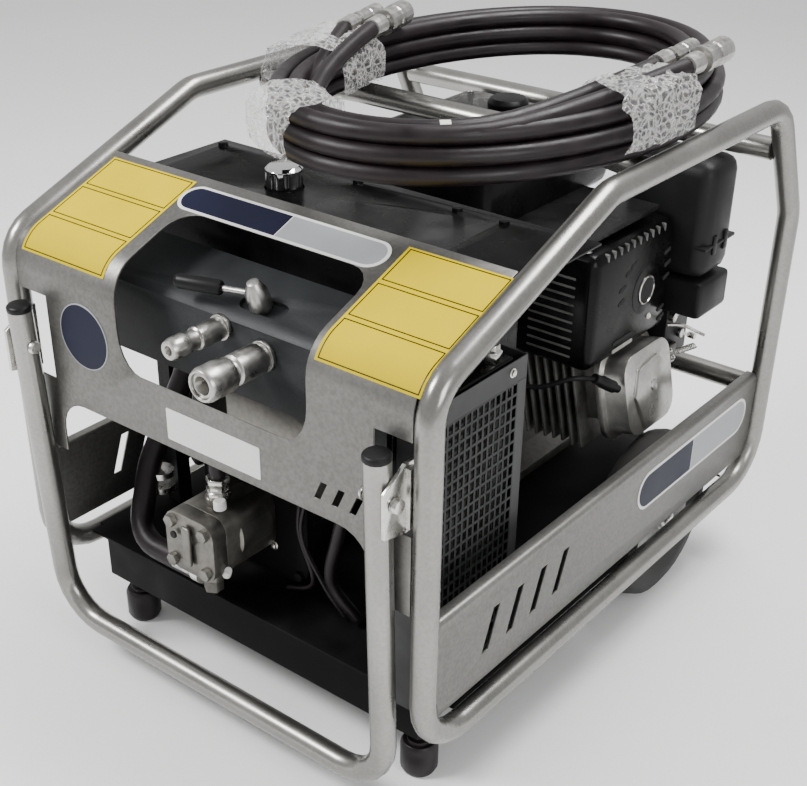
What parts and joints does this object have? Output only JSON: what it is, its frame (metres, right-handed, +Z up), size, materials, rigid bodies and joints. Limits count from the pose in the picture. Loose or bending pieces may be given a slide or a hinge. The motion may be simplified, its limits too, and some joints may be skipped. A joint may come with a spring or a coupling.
{
  "type": "hydraulic power unit",
  "caption": "Portable engine-driven hydraulic power unit in a wheeled tube frame, with gear pump, cooler, control valve, quick couplings and a coiled twin hose.",
  "frame": {"origin": "on the floor under the middle of the unit", "axes": "+Z up, +Y from the control panel to the engine's starter end, +X to the right seen from the control panel"},
  "size_m": [0.6994, 0.9275, 0.8486],
  "materials": {
    "silver_paint": "satin silver paint",
    "zinc_plate": "bright zinc plate",
    "black_steel": "black gloss paint",
    "textured_grey": "dark grey textured powder coat",
    "cast_aluminium": "cast, lightly tumbled",
    "gear_steel": "machined",
    "black_rubber": "moulded, matt",
    "tyre_rubber": "moulded tread",
    "rim_grey": "grey paint",
    "black_plastic": "moulded, fine texture"
  },
  "bodies": {
    "chassis": {"air_cleaner_base": "black_plastic", "air_cleaner_cover": "black_plastic", "axle": "zinc_plate", "base_tray": "black_steel", "bell_housing": "cast_aluminium", "console_box": "textured_grey", "cooler_core": "black_steel", "cooler_guard": "black_steel", "crankcase": "cast_aluminium", "cylinder": "cast_aluminium", "female_coupling": "zinc_plate", "foot_left": "black_rubber", "foot_right": "black_rubber", "front_panel": "silver_paint", "fuel_tank": "black_steel", "handle_pivot_left": "zinc_plate", "handle_pivot_right": "zinc_plate", "hose_coil": "black_rubber", "hose_coupling_female_front": "zinc_plate", "hose_coupling_female_rear": "zinc_plate", "hose_coupling_male_front": "zinc_plate", "hose_coupling_male_rear": "zinc_plate", "lifting_bow": "silver_paint", "male_coupling": "zinc_plate", "mounting_plate": "black_steel", "muffler_guard": "black_steel", "oil_tank": "black_steel", "pump_body": "cast_aluminium", "pump_cover": "cast_aluminium", "rear_cross_tube": "silver_paint", "rear_lower_tube": "silver_paint", "recoil_cover": "black_steel", "rocker_cover": "cast_aluminium", "side_frame_left": "silver_paint", "side_frame_right": "silver_paint", "side_panel_left": "silver_paint", "side_panel_right": "silver_paint", "starter_grip": "black_plastic", "suction_hose": "black_rubber", "tank_lid": "black_steel"},
    "handle": {"lift_handle": "silver_paint", "handle_cap_left": "black_plastic", "handle_cap_right": "black_plastic"},
    "wheel_left": {"tyre_left": "tyre_rubber", "rim_left": "rim_grey"},
    "wheel_right": {"tyre_right": "tyre_rubber", "rim_right": "rim_grey"},
    "valve_lever": {"control_lever": "zinc_plate", "lever_grip": "black_plastic"},
    "sleeve": {"coupling_sleeve": "zinc_plate"},
    "crankshaft": {"drive_coupling": "gear_steel", "pump_drive_gear": "gear_steel"},
    "idler": {"pump_idler_gear": "gear_steel"},
    "fan": {"cooler_fan": "black_plastic"},
    "throttle": {"throttle_lever": "zinc_plate"},
    "choke": {"choke_lever": "zinc_plate"},
    "fuel_cap": {"fuel_cap": "black_plastic"},
    "tank_cap": {"tank_cap": "zinc_plate"}
  },
  "joints": [
    {"name": "handle_swing", "type": "hinge", "parent": "chassis", "child": "handle", "pos_m": [0, -0.444, 0.486], "axis": [-1, 0, 0], "range_deg": [0, 90]},
    {"name": "wheel_left_roll", "type": "hinge", "parent": "chassis", "child": "wheel_left", "pos_m": [-0.277, 0.227, 0.13], "axis": [1, 0, 0], "continuous": true},
    {"name": "wheel_right_roll", "type": "hinge", "parent": "chassis", "child": "wheel_right", "pos_m": [0.277, 0.227, 0.13], "axis": [1, 0, 0], "continuous": true},
    {"name": "valve_lever_turn", "type": "hinge", "parent": "chassis", "child": "valve_lever", "pos_m": [0.024, -0.333, 0.59139], "axis": [0, -0.3549, 0.9349], "range_deg": [0, 40]},
    {"name": "coupling_sleeve_slide", "type": "slide", "parent": "chassis", "child": "sleeve", "axis": [0, 1, 0], "range_m": [0, 0.005], "stiffness_N_per_m": 600, "springref_m": -0.004},
    {"name": "crankshaft_turn", "type": "hinge", "parent": "chassis", "child": "crankshaft", "pos_m": [-0.06, -0.2, 0.262], "axis": [0, 1, 0], "continuous": true},
    {"name": "pump_idler_turn", "type": "hinge", "parent": "chassis", "child": "idler", "pos_m": [-0.06, -0.35, 0.233], "axis": [0, 1, 0], "continuous": true},
    {"name": "cooler_fan_turn", "type": "hinge", "parent": "chassis", "child": "fan", "pos_m": [0.24, -0.2735, 0.355], "axis": [1, 0, 0], "continuous": true},
    {"name": "throttle_turn", "type": "hinge", "parent": "chassis", "child": "throttle", "pos_m": [0.2203, 0.342, 0.398], "axis": [-1, 0, 0], "range_deg": [0, 30]},
    {"name": "choke_turn", "type": "hinge", "parent": "chassis", "child": "choke", "pos_m": [0.2203, 0.372, 0.362], "axis": [-1, 0, 0], "range_deg": [0, 40]},
    {"name": "fuel_cap_turn", "type": "hinge", "parent": "chassis", "child": "fuel_cap", "pos_m": [-0.06, 0.29, 0.68], "axis": [0, 0, 1], "range_deg": [0, 90]},
    {"name": "tank_cap_turn", "type": "hinge", "parent": "chassis", "child": "tank_cap", "pos_m": [-0.105, -0.15, 0.67], "axis": [0, 0, 1], "range_deg": [0, 90]}
  ],
  "couplings": [
    {"joint": "pump_idler_turn", "follows": "crankshaft_turn", "ratio": -1}
  ]
}
